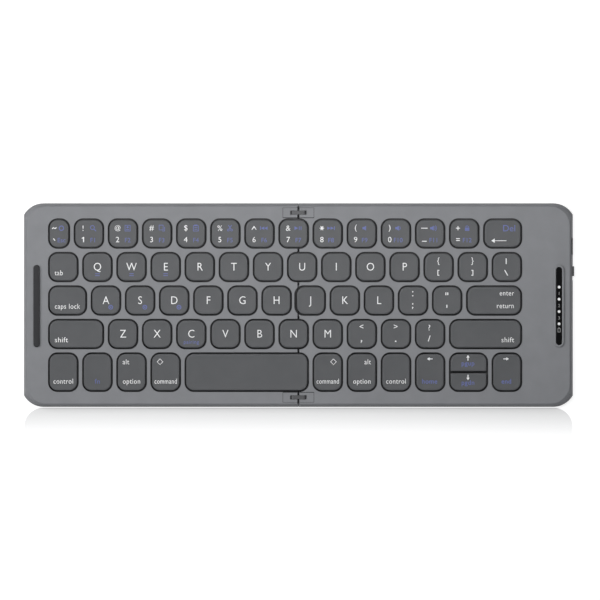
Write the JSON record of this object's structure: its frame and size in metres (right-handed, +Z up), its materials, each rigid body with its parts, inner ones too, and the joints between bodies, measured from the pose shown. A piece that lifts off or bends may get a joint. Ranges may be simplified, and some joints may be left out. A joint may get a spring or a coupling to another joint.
{
  "type": "folding keyboard",
  "caption": "Two-part folding keyboard: 65 low caps in five staggered rows, split by a fold line that some keys cross, on two double-pin hinge links.",
  "frame": {"origin": "on the surface the open keyboard lies on, on the fold line, at the middle of the case's depth", "axes": "+X to the right along the rows, +Y to the rear (number row), +Z up"},
  "size_m": [0.2905, 0.1076, 0.0083],
  "materials": {
    "case_top": "satin",
    "case_bottom": "satin",
    "foot_rubber": "matte",
    "screw_steel": "satin",
    "hinge_bracket": "satin",
    "hinge_pin_steel": "polished",
    "hinge_link": "satin",
    "plate_steel": "satin",
    "membrane_film": "matte",
    "dome_rubber": "satin",
    "scissor_plastic": "satin",
    "magnet": "polished",
    "strip_rubber": "matte",
    "window_gloss": "gloss",
    "flex_film": "satin",
    "circuit_board": "gloss",
    "socket_steel": "satin",
    "battery_pouch": "satin",
    "switch_plastic": "satin",
    "knob_plastic": "satin",
    "key_cap": "satin"
  },
  "bodies": {
    "left_half": {"left_top_case": "case_top", "left_bottom_case": "case_bottom", "left_feet": "foot_rubber", "spacer_bar": "strip_rubber", "left_screws": "screw_steel", "left_hinge_brackets": "hinge_bracket", "left_hinge_pins": "hinge_pin_steel", "left_support_plate": "plate_steel", "left_membrane": "membrane_film", "left_domes": "dome_rubber", "left_scissors": "scissor_plastic", "left_magnets": "magnet"},
    "right_half": {"right_top_case": "case_top", "right_bottom_case": "case_bottom", "right_feet": "foot_rubber", "window_ring": "case_top", "indicator_window": "window_gloss", "right_screws": "screw_steel", "right_hinge_brackets": "hinge_bracket", "right_hinge_pins": "hinge_pin_steel", "right_support_plate": "plate_steel", "right_membrane": "membrane_film", "right_domes": "dome_rubber", "right_scissors": "scissor_plastic", "flex_cable": "flex_film", "main_board": "circuit_board", "usb_c_socket": "socket_steel", "battery": "battery_pouch", "switch_body": "switch_plastic", "right_magnets": "magnet"},
    "hinge_links": {"rear_hinge_link": "hinge_link", "front_hinge_link": "hinge_link"},
    "power_knob": {"power_knob": "knob_plastic"},
    "backtick_key": {"backtick_key": "key_cap"},
    "keys_1_to_7": {"keys_1_to_7": "key_cap"},
    "keys_8_to_equals": {"keys_8_to_equals": "key_cap"},
    "backspace_key": {"backspace_key": "key_cap"},
    "tab_key": {"tab_key": "key_cap"},
    "keys_q_to_y": {"keys_q_to_y": "key_cap"},
    "keys_u_to_backslash": {"keys_u_to_backslash": "key_cap"},
    "caps_lock_key": {"caps_lock_key": "key_cap"},
    "keys_a_to_h": {"keys_a_to_h": "key_cap"},
    "keys_j_to_quote": {"keys_j_to_quote": "key_cap"},
    "enter_key": {"enter_key": "key_cap"},
    "left_shift_key": {"left_shift_key": "key_cap"},
    "keys_z_to_n": {"keys_z_to_n": "key_cap"},
    "keys_m_to_slash": {"keys_m_to_slash": "key_cap"},
    "right_shift_key": {"right_shift_key": "key_cap"},
    "left_control_key": {"left_control_key": "key_cap"},
    "fn_key": {"fn_key": "key_cap"},
    "left_option_key": {"left_option_key": "key_cap"},
    "left_command_key": {"left_command_key": "key_cap"},
    "space_bar": {"space_bar": "key_cap"},
    "right_command_key": {"right_command_key": "key_cap"},
    "right_option_key": {"right_option_key": "key_cap"},
    "right_control_key": {"right_control_key": "key_cap"},
    "left_arrow_key": {"left_arrow_key": "key_cap"},
    "up_arrow_key": {"up_arrow_key": "key_cap"},
    "down_arrow_key": {"down_arrow_key": "key_cap"},
    "right_arrow_key": {"right_arrow_key": "key_cap"}
  },
  "joints": [
    {"name": "fold_left_pivot", "type": "hinge", "parent": "hinge_links", "child": "left_half", "pos_m": [-0.0027, 0, 0.0055], "axis": [0, 1, 0], "range_deg": [0, 90], "deforming": ["flex_cable"]},
    {"name": "fold_right_pivot", "type": "hinge", "parent": "hinge_links", "child": "right_half", "pos_m": [0.0027, 0, 0.0055], "axis": [0, -1, 0], "range_deg": [0, 90]},
    {"name": "power_slide", "type": "slide", "parent": "right_half", "child": "power_knob", "axis": [0, -1, 0], "range_m": [0, 0.002]},
    {"name": "backtick_key_press", "type": "slide", "parent": "left_half", "child": "backtick_key", "axis": [0, 0, -1], "range_m": [0, 0.0012], "stiffness_N_per_m": 200, "springref_m": -0.0015, "deforming": ["left_domes", "left_scissors"]},
    {"name": "keys_1_to_7_press", "type": "slide", "parent": "left_half", "child": "keys_1_to_7", "axis": [0, 0, -1], "range_m": [0, 0.0012], "stiffness_N_per_m": 1400, "springref_m": -0.0015},
    {"name": "keys_8_to_equals_press", "type": "slide", "parent": "right_half", "child": "keys_8_to_equals", "axis": [0, 0, -1], "range_m": [0, 0.0012], "stiffness_N_per_m": 1000, "springref_m": -0.0015, "deforming": ["right_domes", "right_scissors"]},
    {"name": "backspace_key_press", "type": "slide", "parent": "right_half", "child": "backspace_key", "axis": [0, 0, -1], "range_m": [0, 0.0012], "stiffness_N_per_m": 200, "springref_m": -0.0015},
    {"name": "tab_key_press", "type": "slide", "parent": "left_half", "child": "tab_key", "axis": [0, 0, -1], "range_m": [0, 0.0012], "stiffness_N_per_m": 200, "springref_m": -0.0015},
    {"name": "keys_q_to_y_press", "type": "slide", "parent": "left_half", "child": "keys_q_to_y", "axis": [0, 0, -1], "range_m": [0, 0.0012], "stiffness_N_per_m": 1200, "springref_m": -0.0015},
    {"name": "keys_u_to_backslash_press", "type": "slide", "parent": "right_half", "child": "keys_u_to_backslash", "axis": [0, 0, -1], "range_m": [0, 0.0012], "stiffness_N_per_m": 1400, "springref_m": -0.0015},
    {"name": "caps_lock_key_press", "type": "slide", "parent": "left_half", "child": "caps_lock_key", "axis": [0, 0, -1], "range_m": [0, 0.0012], "stiffness_N_per_m": 200, "springref_m": -0.0015},
    {"name": "keys_a_to_h_press", "type": "slide", "parent": "left_half", "child": "keys_a_to_h", "axis": [0, 0, -1], "range_m": [0, 0.0012], "stiffness_N_per_m": 1200, "springref_m": -0.0015},
    {"name": "keys_j_to_quote_press", "type": "slide", "parent": "right_half", "child": "keys_j_to_quote", "axis": [0, 0, -1], "range_m": [0, 0.0012], "stiffness_N_per_m": 1000, "springref_m": -0.0015},
    {"name": "enter_key_press", "type": "slide", "parent": "right_half", "child": "enter_key", "axis": [0, 0, -1], "range_m": [0, 0.0012], "stiffness_N_per_m": 200, "springref_m": -0.0015},
    {"name": "left_shift_key_press", "type": "slide", "parent": "left_half", "child": "left_shift_key", "axis": [0, 0, -1], "range_m": [0, 0.0012], "stiffness_N_per_m": 200, "springref_m": -0.0015},
    {"name": "keys_z_to_n_press", "type": "slide", "parent": "left_half", "child": "keys_z_to_n", "axis": [0, 0, -1], "range_m": [0, 0.0012], "stiffness_N_per_m": 1200, "springref_m": -0.0015},
    {"name": "keys_m_to_slash_press", "type": "slide", "parent": "right_half", "child": "keys_m_to_slash", "axis": [0, 0, -1], "range_m": [0, 0.0012], "stiffness_N_per_m": 800, "springref_m": -0.0015},
    {"name": "right_shift_key_press", "type": "slide", "parent": "right_half", "child": "right_shift_key", "axis": [0, 0, -1], "range_m": [0, 0.0012], "stiffness_N_per_m": 200, "springref_m": -0.0015},
    {"name": "left_control_key_press", "type": "slide", "parent": "left_half", "child": "left_control_key", "axis": [0, 0, -1], "range_m": [0, 0.0012], "stiffness_N_per_m": 200, "springref_m": -0.0015},
    {"name": "fn_key_press", "type": "slide", "parent": "left_half", "child": "fn_key", "axis": [0, 0, -1], "range_m": [0, 0.0012], "stiffness_N_per_m": 200, "springref_m": -0.0015},
    {"name": "left_option_key_press", "type": "slide", "parent": "left_half", "child": "left_option_key", "axis": [0, 0, -1], "range_m": [0, 0.0012], "stiffness_N_per_m": 200, "springref_m": -0.0015},
    {"name": "left_command_key_press", "type": "slide", "parent": "left_half", "child": "left_command_key", "axis": [0, 0, -1], "range_m": [0, 0.0012], "stiffness_N_per_m": 200, "springref_m": -0.0015},
    {"name": "space_bar_press", "type": "slide", "parent": "left_half", "child": "space_bar", "axis": [0, 0, -1], "range_m": [0, 0.0012], "stiffness_N_per_m": 200, "springref_m": -0.0015},
    {"name": "right_command_key_press", "type": "slide", "parent": "right_half", "child": "right_command_key", "axis": [0, 0, -1], "range_m": [0, 0.0012], "stiffness_N_per_m": 200, "springref_m": -0.0015},
    {"name": "right_option_key_press", "type": "slide", "parent": "right_half", "child": "right_option_key", "axis": [0, 0, -1], "range_m": [0, 0.0012], "stiffness_N_per_m": 200, "springref_m": -0.0015},
    {"name": "right_control_key_press", "type": "slide", "parent": "right_half", "child": "right_control_key", "axis": [0, 0, -1], "range_m": [0, 0.0012], "stiffness_N_per_m": 200, "springref_m": -0.0015},
    {"name": "left_arrow_key_press", "type": "slide", "parent": "right_half", "child": "left_arrow_key", "axis": [0, 0, -1], "range_m": [0, 0.0012], "stiffness_N_per_m": 200, "springref_m": -0.0015},
    {"name": "up_arrow_key_press", "type": "slide", "parent": "right_half", "child": "up_arrow_key", "axis": [0, 0, -1], "range_m": [0, 0.0012], "stiffness_N_per_m": 200, "springref_m": -0.0015},
    {"name": "down_arrow_key_press", "type": "slide", "parent": "right_half", "child": "down_arrow_key", "axis": [0, 0, -1], "range_m": [0, 0.0012], "stiffness_N_per_m": 200, "springref_m": -0.0015},
    {"name": "right_arrow_key_press", "type": "slide", "parent": "right_half", "child": "right_arrow_key", "axis": [0, 0, -1], "range_m": [0, 0.0012], "stiffness_N_per_m": 200, "springref_m": -0.0015}
  ],
  "couplings": [
    {"joint": "fold_right_pivot", "follows": "fold_left_pivot", "ratio": 1}
  ]
}
